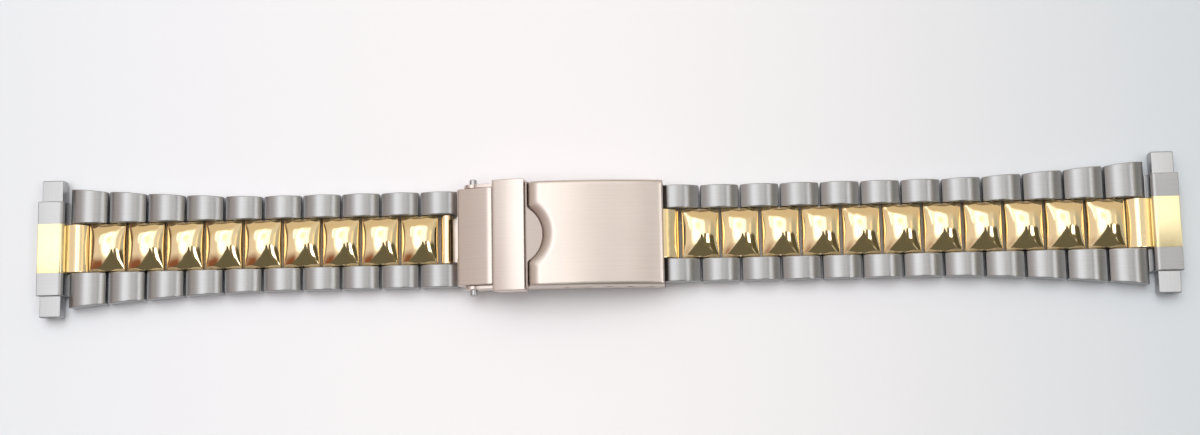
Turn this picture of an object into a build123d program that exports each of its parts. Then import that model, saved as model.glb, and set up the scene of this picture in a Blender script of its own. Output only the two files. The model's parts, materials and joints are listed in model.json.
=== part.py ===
from build123d import *
import os
from math import cos, degrees, hypot, radians, sin, sqrt

# A two-tone link watch bracelet, lying straight and face up on a flat surface.
# X runs along the bracelet, Y across it and Z up from that surface. The origin is below the
# middle of the whole bracelet. Sizes are in millimetres and angles in degrees.
# Places along the clasp are first worked out from the clasp's own middle.

# Link rows
pitch = 5.7                     # from one side link to the next one in its row
link_gap = 0.3                  # between two links of a row
row_clearance = 0.1             # between the centre row and a side row
left_pair_count = 10
right_pair_count = 12
pin_height = 1.3                # the pins' axes above the bracelet's flat back
pin_radius = 0.4
bore_clearance = 0.03           # between a pin and what turns on it, all round
pin_sides = 12                  # the repeated pins, slots and adjuster holes have flat sides
foot_chamfer = 0.5              # on the back edges, so that neighbours can fold inwards
cut_overrun = 1.0               # how far a cutting body passes what it cuts

# Side links
side_edge_height = 1.95         # where the arched top meets the link's end face
side_crown_height = 2.9
side_link_width = 3.3           # along the straight part of the bracelet
taper_extra_width = 1.8         # what the side link at the lug end has more
taper_link_count = 5            # side links over which that extra width runs out
taper_power_share = 1.5         # how quickly it runs out

# Centre links
centre_link_width = 7.0
centre_gap = 0.4
centre_edge_height = 2.25
centre_crown_height = 3.4
plain_edge_height = 1.5
plain_crown_height = 2.35

# Clasp cover
clasp_length = 29.4
clasp_height = 6.9              # the top of the arch above the surface
arch_radius = 55.0              # of the cover's top, seen from the side
cover_width = 15.0
cover_sheet = 0.8
cover_wall = 0.5
cover_edge_chamfer = 0.35
cover_depth = 4.5               # from the top of the arch to the walls' lower edge
front_step = 0.95               # how far the front lies below the cover's top
front_sheet = 0.7
front_backing = 2.5             # how far the front sheet runs on below the cover
front_strip = 0.5               # of the front that shows between the latch and the raised part
ear_radius = 1.34
notch_width = 7.6
notch_depth = 2.05
notch_bevel_angle = 43.0

# Adjuster
adjuster_hole_count = 5
adjuster_hole_pitch = 3.0
adjuster_hole_radius = 0.5
adjuster_end_distance = 1.8     # from the cover's end to the outermost hole
adjuster_depth = 2.4            # the holes' row below the cover's top
adjuster_bar_radius = 0.7
adjuster_tip_radius = 0.45
ramp_span_count = 5             # link spans over which the right half comes down to the surface

# Safety latch
latch_nose_radius = 2.3
latch_pin_height = 3.15
latch_narrow_length = 5.25      # from the clasp's end to the clamp band
latch_clearance = 0.1           # between the latch's narrow part and each wall
latch_band_length = 4.55
latch_band_lift = 0.05          # between the clamp band and what it lies on
latch_top_inset = 0.05          # how far the clamp band's top lies below the cover's top
latch_step = 0.2                # the narrow part's top below the clamp band's
latch_flap = 0.35
latch_flap_depth = 3.3
latch_wall = 0.9                # over the middle blade's knuckle
latch_window_width = 6.0        # where the middle blade's neck passes
latch_window_height = 0.75      # above the pin's axis

# Hinge pin of the cover
cover_pin_radius = 0.55
cover_pin_overhang = 0.9        # each head outside the cover's wall

# Blades
blade_thickness = 0.6
blade_gap = 0.1
blade_width = 10.0
middle_blade_depth = 4.0        # its top face below the cover's top
blade_neck_width = 5.6
blade_knuckle_radius = 1.05
blade_start = 5.05              # from the clasp's end to the middle blade's plate
fold_pin_distance = 4.5         # from the cover's right end to the pin between the blades
fold_pin_radius = 0.45
fold_knuckle_radius = 0.9
fold_knuckle_width = 4.0
fold_clearance = 0.1
tongue_width = 6.6
tongue_reach = 1.4              # from the clasp's left end to the first pin of the left half
clasp_link_overlap = 0.5        # the left clasp link's length to the right of that pin

# End pieces
end_gap = 0.35                  # from the last side links to the sleeve's ledge
ledge_depth = 0.35
ledge_height = 0.8
sleeve_span = 13.8              # across the bracelet
sleeve_wall = 0.25
sleeve_top_wall = 0.35
sleeve_corner = 0.8             # the rounded edge on the bracelet's side
sleeve_outer_corner = 0.15
crimp_depth = 0.4
band_width = 7.2
band_thickness = 0.12
band_foot = 0.5                 # where the gold band ends above the surface
neck_crown_height = 2.4
tip_span = 20.0                 # over both tips: the widest lug width
tip_length_x = 3.1
tip_height_z = 1.95
tip_shoulder = 0.1
tip_shoulder_length = 1.45
tip_clearance = 0.05
tip_bore_radius = 0.7
spring_radius = 0.95
spring_wall = 0.2

# Worked out from the sizes above
pin_span = pitch / 2
side_link_length = pitch - link_gap
centre_link_length = pitch - centre_gap
bore_radius = pin_radius + bore_clearance
inner_side = centre_link_width / 2 + row_clearance
arch_centre_z = clasp_height - arch_radius
clasp_end = clasp_length / 2
step_x = latch_narrow_length + latch_band_length + front_strip - clasp_end
front_radius = arch_radius - front_step
wall_radius = arch_radius - cover_depth
front_x = latch_narrow_length - clasp_end - 2 * latch_band_lift
latch_pin_x = latch_nose_radius - clasp_end
fold_pin_x = clasp_end - fold_pin_distance
middle_blade_radius = arch_radius - middle_blade_depth
lower_blade_radius = middle_blade_radius - blade_thickness - blade_gap
fold_radius = lower_blade_radius + blade_gap / 2
first_pin_x = -clasp_end - tongue_reach
adjuster_x = clasp_end - adjuster_end_distance


def arch_z(radius, x):
    """Height at x of the clasp's arc of this radius. All its arcs share one centre."""
    return sqrt(radius ** 2 - x ** 2) + arch_centre_z


def across(face, width):
    """A body of this width, the same to both sides of the bracelet's middle line."""
    return extrude(Plane.XZ * face, amount=width / 2, both=True)


def across_from(face, inner_y, outer_y):
    """A body between two places on the far side of the middle line."""
    return extrude(Plane.XZ.offset(-outer_y) * face, amount=outer_y - inner_y)


def both_sides(body):
    """The body and its mirror image on the near side."""
    return [body, mirror(body, about=Plane.XZ)]


def rod(x, z, radius, width):
    """A round bar across the bracelet."""
    return across(Pos(x, z) * Circle(radius), width)


def twelve_sided(radius, fits_inside):
    """A pin's section inside a circle of this radius, or a hole's section outside it."""
    return RegularPolygon(radius, pin_sides, major_radius=fits_inside, rotation=180 / pin_sides)


def box_between(x_range, z_range, width):
    """A block across the bracelet, from its ranges along X and Z."""
    middle = Pos(sum(x_range) / 2, sum(z_range) / 2)
    return across(middle * Rectangle(x_range[1] - x_range[0], z_range[1] - z_range[0]), width)


def arch_face(inner_radius, outer_radius, start_x, end_x):
    """Side outline of a strip between two of the clasp's arcs."""
    stations = (start_x, (start_x + end_x) / 2, end_x)
    low = [(x, arch_z(inner_radius, x)) for x in stations]
    high = [(x, arch_z(outer_radius, x)) for x in stations]
    return make_face([
        ThreePointArc(*low),
        Line(low[-1], high[-1]),
        ThreePointArc(*high[::-1]),
        Line(high[0], low[0]),
    ])


def link_outline(length, edge_height, crown_height):
    """Side outline of a link about the middle of its two pins: flat back, arched top."""
    half = length / 2
    back = -pin_height
    edge = edge_height - pin_height
    foot = Polyline(
        (-half, edge), (-half, back + foot_chamfer), (foot_chamfer - half, back),
        (half - foot_chamfer, back), (half, back + foot_chamfer), (half, edge),
    )
    crown = ThreePointArc((half, edge), (0, crown_height - pin_height), (-half, edge))
    return make_face(foot.edges() + [crown])


def outer_side(links_from_lug):
    """Half width of the bracelet, this many links from the lug end."""
    rest_share = max(0, 1 - links_from_lug / taper_link_count)
    return inner_side + side_link_width + taper_extra_width * rest_share ** taper_power_share


def side_links(lug_start, lug_direction):
    """A pair of side links with the two pins that are pressed into them, as one piece."""
    half = side_link_length / 2
    near_lug = outer_side(lug_start)
    far_from_lug = outer_side(lug_start + 1)
    widest = max(near_lug, far_from_lug)
    plan = make_face(Polyline(
        (-half, inner_side), (half, inner_side),
        (half, near_lug if lug_direction > 0 else far_from_lug),
        (-half, far_from_lug if lug_direction > 0 else near_lug),
        close=True,
    ))
    prism = extrude(Pos(0, 0, -pin_height) * plan, amount=side_crown_height)
    outline = link_outline(side_link_length, side_edge_height, side_crown_height)
    link = across_from(outline, inner_side, widest) & prism
    pins = [
        across(Pos(x, 0) * twelve_sided(pin_radius, True), 2 * (inner_side + pin_radius))
        for x in (-pin_span / 2, pin_span / 2)
    ]
    return Part() + both_sides(link) + pins


def centre_link():
    """A hollow domed centre link: two arched outlines meet in four hips, over one slot for both pins."""
    half = centre_link_width / 2
    edge = centre_edge_height - pin_height
    outline = link_outline(centre_link_length, centre_edge_height, centre_crown_height)
    front = make_face([
        Polyline((-half, edge), (-half, -pin_height), (half, -pin_height), (half, edge)),
        ThreePointArc((half, edge), (0, centre_crown_height - pin_height), (-half, edge)),
    ])
    dome = extrude(Plane.YZ * front, amount=centre_link_length / 2, both=True)
    slot = Rectangle(pin_span, 2 * bore_radius)
    slot += [Pos(x, 0) * twelve_sided(bore_radius, False) for x in (-pin_span / 2, pin_span / 2)]
    return (across(outline, centre_link_width) & dome) - across(slot, centre_link_width + cut_overrun)


def right_clasp_link():
    """The plain gold link between the adjuster bar and the first side links of the right half."""
    body = across(link_outline(centre_link_length, plain_edge_height, plain_crown_height), centre_link_width)
    reach = centre_link_width + cut_overrun
    bar_bore = rod(-pin_span / 2, 0, adjuster_bar_radius + bore_clearance, reach)
    pin_bore = rod(pin_span / 2, 0, bore_radius, reach)
    return body - bar_bore - pin_bore


def left_clasp_link():
    """The short plain gold link that is fixed on the lower blade's tongue."""
    start = first_pin_x - centre_link_length / 2 + pin_span / 2
    end = first_pin_x + clasp_link_overlap
    outline = make_face([
        Polyline((start, plain_edge_height), (start, blade_thickness), (end, blade_thickness),
                 (end, plain_edge_height)),
        ThreePointArc((end, plain_edge_height), ((start + end) / 2, plain_crown_height),
                      (start, plain_edge_height)),
    ])
    bore = rod(first_pin_x, pin_height, bore_radius, centre_link_width + cut_overrun)
    return across(outline, centre_link_width) - bore


def cover_main():
    """The raised part of the cover, with its chamfered long edges and the bevelled finger notch."""
    block = across(arch_face(wall_radius, arch_radius, step_x, clasp_end), cover_width)
    long_edges = [
        edge for edge in block.edges().filter_by(GeomType.CIRCLE)
        if abs(edge.radius - arch_radius) < cover_edge_chamfer
    ]
    block = chamfer(long_edges, cover_edge_chamfer)
    floor_z = arch_z(front_radius, step_x)
    notch_radius = (notch_width ** 2 / 4 + notch_depth ** 2) / (2 * notch_depth)
    front = Pos(step_x - clasp_length / 2, 0) * Rectangle(clasp_length, 2 * cover_width)
    notch = Pos(step_x + notch_depth - notch_radius, 0) * Circle(notch_radius)
    cutter = extrude(
        Pos(0, 0, floor_z) * (front + notch), amount=front_step + cut_overrun, taper=-notch_bevel_angle
    )
    return block - cutter


def clasp_cover():
    """The clasp's pressed cover: arched top, stepped-down front, side walls with ears and bar holes."""
    front = across(arch_face(wall_radius, front_radius, front_x, step_x + front_backing), cover_width)
    ears = across(
        arch_face(wall_radius, front_radius, latch_pin_x, front_x)
        + Pos(latch_pin_x, latch_pin_height) * Circle(ear_radius),
        cover_width,
    )
    inner_width = cover_width - 2 * cover_wall
    deep = wall_radius - cut_overrun
    under_main = arch_face(
        deep, arch_radius - cover_sheet, step_x + front_backing, clasp_end + cut_overrun
    )
    under_front = arch_face(deep, front_radius - front_sheet, front_x, step_x + front_backing)
    between_ears = box_between((-clasp_length, front_x), (-clasp_height, 2 * clasp_height), inner_width)
    cover = cover_main() + front + ears
    cover -= across(under_main, inner_width)
    cover -= across(under_front, inner_width)
    cover -= between_ears
    through = cover_width + cut_overrun
    for x in adjuster_hole_places():
        cover -= across(Pos(x, adjuster_z(x)) * twelve_sided(adjuster_hole_radius, False), through)
    return cover - rod(latch_pin_x, latch_pin_height, cover_pin_radius + bore_clearance, through)


def ramp_slopes():
    """How steeply each of the first link spans of the right half comes down, in degrees."""
    drop = arch_z(arch_radius - adjuster_depth, adjuster_x) - pin_height
    steps = [step ** 2 for step in range(ramp_span_count, 0, -1)]
    return [degrees(drop / pin_span * step / sum(steps)) for step in steps]


def right_pins():
    """Place and slope of each pin of the right half: (x, z), starting at the adjuster bar."""
    slopes = ramp_slopes() + [0] * (2 * right_pair_count - ramp_span_count)
    z = pin_height + sum(pin_span * sin(radians(slope)) for slope in slopes)
    x = adjuster_x
    places = [(x, z)]
    for slope in slopes:
        x += pin_span * cos(radians(slope))
        z -= pin_span * sin(radians(slope))
        places.append((x, z))
    return places, slopes


def adjuster_radius():
    """The radius of the arc on which the adjuster holes lie."""
    bar_x, bar_z = right_pins()[0][0]
    return hypot(bar_x, bar_z - arch_centre_z)


def adjuster_z(x):
    """Height of the adjuster hole at x."""
    return arch_z(adjuster_radius(), x)


def adjuster_hole_places():
    """The adjuster holes' places along the cover, the outermost first."""
    return [adjuster_x - index * adjuster_hole_pitch for index in range(adjuster_hole_count)]


def cover_pins():
    """The hinge pin in the cover's ears and the spring bar in the outermost adjuster holes."""
    hinge_pin = rod(latch_pin_x, latch_pin_height, cover_pin_radius, cover_width + 2 * cover_pin_overhang)
    bar_z = adjuster_z(adjuster_x)
    bar_length = cover_width - 2 * (cover_wall + row_clearance)
    bar = rod(adjuster_x, bar_z, adjuster_bar_radius, bar_length)
    tips = rod(adjuster_x, bar_z, adjuster_tip_radius, cover_width)
    return [hinge_pin, bar + tips]


def safety_latch():
    """The latch: a nose on the hinge pin, a narrow top and a clamp band with two side flaps."""
    band_top = arch_radius - latch_top_inset
    band_start = latch_narrow_length - clasp_end
    band_end = band_start + latch_band_length
    under_radius = front_radius + latch_band_lift
    band_width_y = cover_width + 2 * (latch_flap + latch_band_lift)
    band = across(arch_face(under_radius, band_top, band_start, band_end), band_width_y)
    flap = across_from(
        arch_face(arch_radius - latch_flap_depth, band_top, band_start, band_end),
        band_width_y / 2 - latch_flap, band_width_y / 2,
    )
    joint_x = band_start + latch_band_lift
    nose_top = latch_pin_height + latch_nose_radius
    top = make_face(Polyline(
        (joint_x, arch_z(band_top - latch_step, joint_x)), (latch_pin_x, nose_top),
        (latch_pin_x, nose_top - latch_wall), (joint_x, arch_z(under_radius, joint_x)),
        close=True,
    ))
    nose = Pos(latch_pin_x, latch_pin_height) * Circle(latch_nose_radius)
    narrow_width = cover_width - 2 * (cover_wall + latch_clearance)
    latch = across(nose + top, narrow_width) + band + both_sides(flap)
    knuckle_room = rod(latch_pin_x, latch_pin_height, latch_nose_radius - latch_wall, latch_window_width)
    nose_range = (latch_pin_x - clasp_length, latch_pin_x + latch_nose_radius)
    window_top = latch_pin_height + latch_window_height
    window = box_between(nose_range, (-clasp_height, window_top), latch_window_width)
    bore = rod(latch_pin_x, latch_pin_height, cover_pin_radius + bore_clearance, cover_width + cut_overrun)
    return latch - knuckle_room - window - bore


def middle_blade():
    """The middle blade: a neck and knuckle on the cover's hinge pin, a curved plate, a fold knuckle."""
    inner = middle_blade_radius - blade_thickness
    start = blade_start - clasp_end
    plate_end = fold_pin_x - fold_knuckle_radius - fold_clearance
    plate = across(arch_face(inner, middle_blade_radius, start, plate_end), blade_width)
    plate += across(arch_face(inner, middle_blade_radius, plate_end, fold_pin_x), fold_knuckle_width)
    neck = make_face(Polyline(
        (latch_pin_x, latch_pin_height - blade_knuckle_radius),
        (start, arch_z(inner, start)),
        (start, arch_z(middle_blade_radius, start)),
        (latch_pin_x + blade_knuckle_radius, latch_pin_height),
        close=True,
    ))
    knuckle = Pos(latch_pin_x, latch_pin_height) * Circle(blade_knuckle_radius)
    fold_z = arch_z(fold_radius, fold_pin_x)
    fold = rod(fold_pin_x, fold_z, fold_knuckle_radius, fold_knuckle_width)
    blade = plate + across(neck + knuckle, blade_neck_width) + fold
    blade -= rod(latch_pin_x, latch_pin_height, cover_pin_radius + bore_clearance, cover_width)
    return blade - rod(fold_pin_x, fold_z, fold_pin_radius + bore_clearance, cover_width)


def lower_blade():
    """The lower blade: a curved plate, two fold knuckles and the tongue to the left half."""
    inner = lower_blade_radius - blade_thickness
    tongue_root = latch_pin_x + blade_gap
    plate_end = fold_pin_x - fold_knuckle_radius - fold_clearance
    plate = across(arch_face(inner, lower_blade_radius, tongue_root, plate_end), blade_width)
    side_start = fold_knuckle_width / 2 + fold_clearance
    fold_z = arch_z(fold_radius, fold_pin_x)
    knuckle_face = (
        arch_face(inner, lower_blade_radius, plate_end, fold_pin_x)
        + Pos(fold_pin_x, fold_z) * Circle(fold_knuckle_radius)
    )
    knuckles = both_sides(across_from(knuckle_face, side_start, blade_width / 2))
    tongue_tip = first_pin_x - centre_link_length / 2 + pin_span / 2 + foot_chamfer
    tongue = box_between((tongue_tip, tongue_root), (0, blade_thickness), tongue_width)
    bend_end = tongue_root + blade_thickness
    bend = make_face(Polyline(
        (tongue_root, 0),
        (bend_end, arch_z(inner, bend_end)),
        (bend_end, arch_z(lower_blade_radius, bend_end)),
        (tongue_root, blade_thickness),
        close=True,
    ))
    blade = plate + knuckles + tongue + across(bend, tongue_width)
    return blade - rod(fold_pin_x, fold_z, fold_pin_radius + bore_clearance, cover_width)


def blade_hinge_pin():
    """The pin that joins the two blades."""
    return rod(fold_pin_x, arch_z(fold_radius, fold_pin_x), fold_pin_radius, blade_width)


# The end pieces are drawn for the right end, from the last pin, with X pointing away from the links.
link_end = side_link_length / 2 - pin_span / 2
sleeve_start = link_end + end_gap + ledge_depth
tip_cavity_x = tip_length_x + 2 * (tip_shoulder + tip_clearance)
tip_cavity_z = tip_height_z + 2 * (tip_shoulder + tip_clearance)
sleeve_end = sleeve_start + tip_cavity_x + 2 * sleeve_wall
sleeve_height = tip_cavity_z + sleeve_wall + sleeve_top_wall
tip_x = sleeve_start + sleeve_wall + tip_cavity_x / 2
tip_z = sleeve_wall + tip_cavity_z / 2


def sleeve_outline(inset):
    """Side outline of the sleeve, made smaller all round by the inset except below."""
    left = sleeve_start + inset
    right = sleeve_end - inset
    top = sleeve_height - inset
    radius = sleeve_corner - inset
    outer_radius = max(sleeve_outer_corner - inset, inset / 2)
    return make_face([
        Polyline((left, top - radius), (left, 0), (right, 0), (right, top - outer_radius)),
        RadiusArc((right, top - outer_radius), (right - outer_radius, top), -outer_radius),
        Line((right - outer_radius, top), (left + radius, top)),
        RadiusArc((left + radius, top), (left, top - radius), -radius),
    ])


def end_sleeve():
    """The folded tube of an end piece, crimped at its mouths, with a ledge towards the links."""
    tube = across(sleeve_outline(0), sleeve_span)
    ledge_range = (sleeve_start - ledge_depth, sleeve_start + sleeve_wall)
    tube += box_between(ledge_range, (0, ledge_height), sleeve_span)
    tube -= end_band_room()
    neck_room = (sleeve_start - ledge_depth, sleeve_start)
    tube -= box_between(neck_room, (0, ledge_height), band_width)
    cavity = Pos(tip_x, tip_z) * Rectangle(tip_cavity_x, tip_cavity_z)
    mouth = Pos(tip_x, tip_z) * Rectangle(
        tip_length_x + 2 * tip_clearance, tip_height_z + 2 * tip_clearance
    )
    tube -= across(cavity, sleeve_span - 2 * crimp_depth)
    return tube - across(mouth, sleeve_span + cut_overrun)


def end_band_room():
    """The shallow seat of the gold band round the sleeve's middle."""
    ring = sleeve_outline(0) - sleeve_outline(band_thickness)
    lifted = Pos(sleeve_start, band_foot) * Rectangle(
        2 * clasp_length, 2 * clasp_height, align=(Align.CENTER, Align.MIN)
    )
    return across(ring & lifted, band_width)


def end_link():
    """The plain gold link of an end piece, with the gold band that wraps the sleeve."""
    start = -link_end
    base_start = start + foot_chamfer
    middle = (start + sleeve_start) / 2
    neck = make_face([
        Polyline((start, plain_edge_height), (start, foot_chamfer), (base_start, 0), (sleeve_start, 0),
                 (sleeve_start, neck_crown_height - foot_chamfer), (middle, neck_crown_height)),
        ThreePointArc((middle, neck_crown_height),
                      ((start + middle) / 2, (plain_edge_height + 2 * neck_crown_height) / 3),
                      (start, plain_edge_height)),
    ])
    body = across(neck, centre_link_width) + end_band_room()
    return body - rod(0, pin_height, bore_radius, centre_link_width + cut_overrun)


def end_tip():
    """The far tip of an end piece, pushed out, with the bore for the watch's spring bar."""
    shoulder_end = sleeve_span / 2 - crimp_depth - tip_clearance
    shoulder_start = shoulder_end - tip_shoulder_length
    shoulder = Pos(tip_x, tip_z) * Rectangle(tip_length_x + 2 * tip_shoulder, tip_height_z + 2 * tip_shoulder)
    stem = Pos(tip_x, tip_z) * Rectangle(tip_length_x, tip_height_z)
    tip = across_from(shoulder, shoulder_start, shoulder_end) + across_from(stem, shoulder_start, tip_span / 2)
    return tip - rod(tip_x, tip_z, tip_bore_radius, tip_span + cut_overrun)


def end_spring():
    """The compression spring between the two tips of an end piece, as its plain envelope."""
    length = sleeve_span - 2 * (crimp_depth + tip_clearance + tip_shoulder_length + tip_clearance)
    return rod(tip_x, tip_z, spring_radius, length) - rod(tip_x, tip_z, spring_radius - spring_wall, length)


# Places of the two halves' pins, each from the clasp outwards.
right_places, right_slopes = right_pins()
left_places = [(first_pin_x - index * pin_span, pin_height) for index in range(2 * left_pair_count)]
right_last_x = right_places[-1][0]
left_last_x = left_places[-1][0]
middle_x = (right_last_x + left_last_x) / 2

# The last sloping link stands on its outer foot, which holds the rest a little off the surface.
foot_reach = side_link_length / 2 - foot_chamfer - pin_span / 2
settled_z = foot_reach * sin(radians(right_slopes[ramp_span_count - 1]))


def export(name, body):
    """Writes one node, moved so that the middle of the whole bracelet is above the origin."""
    solids = [solid for item in (body if isinstance(body, list) else [body]) for solid in item.solids()]
    placed = [Pos(-middle_x, 0, settled_z) * solid for solid in solids]
    export_step(placed[0] if len(placed) == 1 else Compound(placed), f"parts/{name}.step")


def span_place(start, end, slope=0):
    """Where a link lies that hangs between two neighbouring pins."""
    x = (start[0] + end[0]) / 2
    z = (start[1] + end[1]) / 2
    return Pos(x, 0, z) * Rot(0, slope, 0)


def build_right_half():
    """Writes the clasp link, the links and the end piece right of the clasp."""
    spans = list(zip(right_places, right_places[1:], right_slopes))
    export("right_clasp_link", span_place(*spans[0]) * right_clasp_link())
    for index in range(right_pair_count):
        links = side_links(right_pair_count - index - 1, 1)
        export(f"right_side_links_{index + 1:02d}", span_place(*spans[2 * index + 1]) * links)
    for index in range(right_pair_count - 1):
        export(f"right_centre_link_{index + 1:02d}", span_place(*spans[2 * index + 2]) * centre_link())
    build_end_piece("right", Pos(right_last_x, 0, 0), False)


def build_left_half():
    """Writes the links and the end piece left of the clasp, numbered from the lug end."""
    spans = list(zip(left_places, left_places[1:]))
    for index in range(left_pair_count):
        links = side_links(index, -1)
        export(f"left_side_links_{index + 1:02d}", span_place(*spans[-1 - 2 * index]) * links)
    for index in range(left_pair_count - 1):
        export(f"left_centre_link_{index + 1:02d}", span_place(*spans[-2 - 2 * index]) * centre_link())
    export("left_clasp_link", left_clasp_link())
    build_end_piece("left", Pos(left_last_x, 0, 0), True)


def build_end_piece(side, place, turned):
    """Writes the pieces of one end, mirrored for the left end."""
    pieces = {
        "end_link": end_link(),
        "end_sleeve": end_sleeve(),
        "back_tip": end_tip(),
        "front_tip": mirror(end_tip(), about=Plane.XZ),
        "end_spring": end_spring(),
    }
    for name, piece in pieces.items():
        body = mirror(piece, about=Plane.YZ) if turned else piece
        export(f"{side}_{name}", place * body)


def build_clasp():
    """Writes the clasp's own pieces."""
    export("clasp_cover", clasp_cover())
    export("cover_pins", cover_pins())
    export("safety_latch", safety_latch())
    export("middle_blade", middle_blade())
    export("lower_blade", lower_blade())
    export("blade_hinge_pin", blade_hinge_pin())


os.makedirs("parts", exist_ok=True)
build_clasp()
build_right_half()
build_left_half()
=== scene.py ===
import json
import math

import bpy
import numpy as np
from bpy.props import FloatProperty, FloatVectorProperty, IntProperty, PointerProperty, StringProperty
from mathutils import Euler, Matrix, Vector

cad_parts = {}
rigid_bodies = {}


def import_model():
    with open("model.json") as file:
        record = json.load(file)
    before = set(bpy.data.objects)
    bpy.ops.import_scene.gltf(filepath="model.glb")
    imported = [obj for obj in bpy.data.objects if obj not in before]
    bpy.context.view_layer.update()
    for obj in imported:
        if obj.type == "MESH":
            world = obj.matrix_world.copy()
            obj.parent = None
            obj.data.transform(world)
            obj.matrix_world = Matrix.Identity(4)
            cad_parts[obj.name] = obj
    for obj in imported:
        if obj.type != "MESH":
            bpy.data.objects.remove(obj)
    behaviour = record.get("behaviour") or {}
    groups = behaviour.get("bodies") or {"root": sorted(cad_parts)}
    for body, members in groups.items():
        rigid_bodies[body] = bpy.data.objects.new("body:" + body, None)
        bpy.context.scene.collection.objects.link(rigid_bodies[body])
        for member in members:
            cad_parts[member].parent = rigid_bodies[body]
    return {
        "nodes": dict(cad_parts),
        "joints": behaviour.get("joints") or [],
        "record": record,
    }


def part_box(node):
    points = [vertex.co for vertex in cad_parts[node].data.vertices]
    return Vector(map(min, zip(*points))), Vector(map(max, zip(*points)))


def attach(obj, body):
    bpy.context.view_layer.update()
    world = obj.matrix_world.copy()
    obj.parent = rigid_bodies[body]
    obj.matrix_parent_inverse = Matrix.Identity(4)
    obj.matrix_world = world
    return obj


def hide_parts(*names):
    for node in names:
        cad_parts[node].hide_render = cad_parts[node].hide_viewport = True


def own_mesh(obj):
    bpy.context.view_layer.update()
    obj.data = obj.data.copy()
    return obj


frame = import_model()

bl_info = {
    "name": "Link Watch Bracelet",
    "version": (1, 0, 0),
    "blender": (4, 5, 0),
    "location": "3D View > Sidebar > Bracelet",
    "description": "Dresses the two-tone link bracelet: links, clasp, end pieces and studio",
    "category": "Object",
}

MM = 0.001
TAU = 2 * math.pi
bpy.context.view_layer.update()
joints = {joint["name"]: joint for joint in frame["joints"]}
body_of_node = {node: body for body, nodes in frame["record"]["behaviour"]["bodies"].items() for node in nodes}


# ---- places that the frame gives ----

def node_box(node):
    """Lowest and highest corner of a CAD node as two arrays, in metres."""
    low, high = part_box(node)
    return np.array(low), np.array(high)


def pins_of(body):
    """The two hinge places of a link's body in the XZ plane, the left one first."""
    ends = [j["pos_m"] for j in joints.values() if j["type"] == "hinge" and body in (j["parent"], j["child"])]
    ends = sorted((x, z) for x, _, z in ends)
    return np.array(ends[0]), np.array(ends[-1])


def pin_place(hinge):
    """A hinge's place in the XZ plane."""
    return np.array(joints[hinge]["pos_m"])[[0, 2]]


def link_place(body):
    """Middle between a link's two pins, and the unit vector along them."""
    left, right = pins_of(body)
    along = (right - left) / np.linalg.norm(right - left)
    return (left + right) / 2, along


def set_down(points, middle, along):
    """Turns points that are drawn about a link's pins into the bracelet's frame."""
    x, y, z = points[..., 0], points[..., 1], points[..., 2]
    return np.stack([middle[0] + x * along[0] - z * along[1], y, middle[1] + x * along[1] + z * along[0]], -1)


# ---- outlines: closed rows of points in the XZ plane, anticlockwise seen from the front ----

def arc(centre, radius, turn):
    """Points at the given turns about a centre."""
    return np.asarray(centre) + radius * np.stack([np.cos(turn), np.sin(turn)], -1)


def circle(centre, radius, count=32):
    """Points round a whole circle."""
    return arc(centre, radius, np.linspace(0, TAU, count, endpoint=False))


def rounded_rectangle(width, height, radius, steps=5):
    """Rectangle about the origin whose corners are rounded."""
    x, z = width / 2, height / 2
    return softened([(-x, -z), (x, -z), (x, z), (-x, z)], [radius] * 4, steps=steps)


def crown_heights(x, half, edge, crown):
    """Height at x of the circle through (-half, edge), (0, crown) and (half, edge)."""
    rise = crown - edge
    radius = (half ** 2 + rise ** 2) / (2 * rise)
    return crown - radius + np.sqrt(np.maximum(radius ** 2 - np.asarray(x) ** 2, 0))


def softened(corners, cuts, crown=None, crown_after=None, steps=5):
    """Polygon whose corners are rounded by parabolas that start one cut length before each corner.
    A crown is a row of ready points put in after the corner with that index."""
    corners = np.asarray(corners, float)
    before, after = np.roll(corners, 1, 0), np.roll(corners, -1, 0)
    if crown is not None:
        after[crown_after] = crown[0]
        before[(crown_after + 1) % len(corners)] = crown[-1]
    cut = np.asarray(cuts, float)[:, None]
    start = corners + (before - corners) / np.linalg.norm(before - corners, axis=1, keepdims=True) * cut
    end = corners + (after - corners) / np.linalg.norm(after - corners, axis=1, keepdims=True) * cut
    t = np.linspace(0, 1, steps)[None, :, None]
    curves = start[:, None] * (1 - t) ** 2 + 2 * corners[:, None] * t * (1 - t) + end[:, None] * t ** 2
    if crown is None:
        return curves.reshape(-1, 2)
    split = crown_after + 1
    return np.concatenate([curves[:split].reshape(-1, 2), crown, curves[split:].reshape(-1, 2)])


def link_outline(length, edge, crown, sizes, edge_cut):
    """Side outline of a link about its pins: flat back, chamfered feet, arched top."""
    half, back, foot = length / 2, -sizes.pin_height, sizes.foot_chamfer
    edge, crown = edge - sizes.pin_height, crown - sizes.pin_height
    corners = [(foot - half, back), (half - foot, back), (half, back + foot), (half, edge),
               (-half, edge), (-half, back + foot)]
    cuts = [sizes.foot_cut] * 3 + [edge_cut] * 2 + [sizes.foot_cut]
    x = np.linspace(half - 1.5 * edge_cut, 1.5 * edge_cut - half, sizes.crown_points)
    arch = np.stack([x, crown_heights(x, half, edge, crown)], -1)
    return softened(corners, cuts, arch, 3)


def slot_loop(outline, centre, half_span, left_radius, right_radius):
    """Edge of a slot between two round ends, one point on the ray from its centre to each outline point."""
    ray = outline - centre
    ray = ray / np.linalg.norm(ray, axis=1, keepdims=True)
    reach = min(left_radius, right_radius) / np.maximum(np.abs(ray[:, 1]), 1e-9)
    reach = np.where(reach * np.abs(ray[:, 0]) <= half_span, reach, 0)
    for place, radius in ((-half_span, left_radius), (half_span, right_radius)):
        along = place * ray[:, 0]
        inside = along ** 2 - place ** 2 + radius ** 2
        reach = np.maximum(reach, np.where(inside >= 0, along + np.sqrt(np.maximum(inside, 0)), 0))
    return centre + ray * reach[:, None]


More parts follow.
